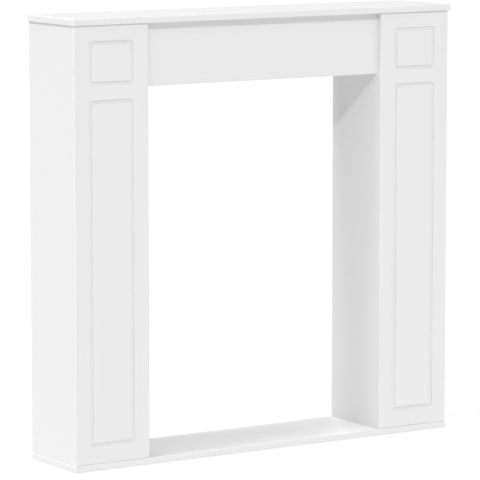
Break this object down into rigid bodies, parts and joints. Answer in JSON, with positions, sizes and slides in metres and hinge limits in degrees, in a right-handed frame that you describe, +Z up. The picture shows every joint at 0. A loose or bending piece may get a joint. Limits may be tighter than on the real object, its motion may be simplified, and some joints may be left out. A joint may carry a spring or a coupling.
{
  "type": "fireplace mantelpiece",
  "caption": "Free-standing fireplace mantelpiece of white painted boards: hollow pilasters with routed frames, a set-back frieze, a base board and a mantel shelf around a tall open hearth.",
  "frame": {"origin": "on the floor, under the middle of the shelf's width and depth", "axes": "+Z up; the front with the routed frames looks towards -Y and the open back towards +Y; +X runs along the shelf to the right as seen from the front"},
  "size_m": [1.016, 0.2, 1],
  "materials": {
    "white_paint": "smooth satin white paint on fibreboard, faintly stippled"
  },
  "bodies": {
    "root": {"mantel_shelf": "white_paint", "base_board": "white_paint", "pilaster_front_left": "white_paint", "pilaster_front_right": "white_paint", "outer_side_left": "white_paint", "outer_side_right": "white_paint", "inner_side_left": "white_paint", "inner_side_right": "white_paint", "frieze_board": "white_paint"}
  },
  "joints": []
}
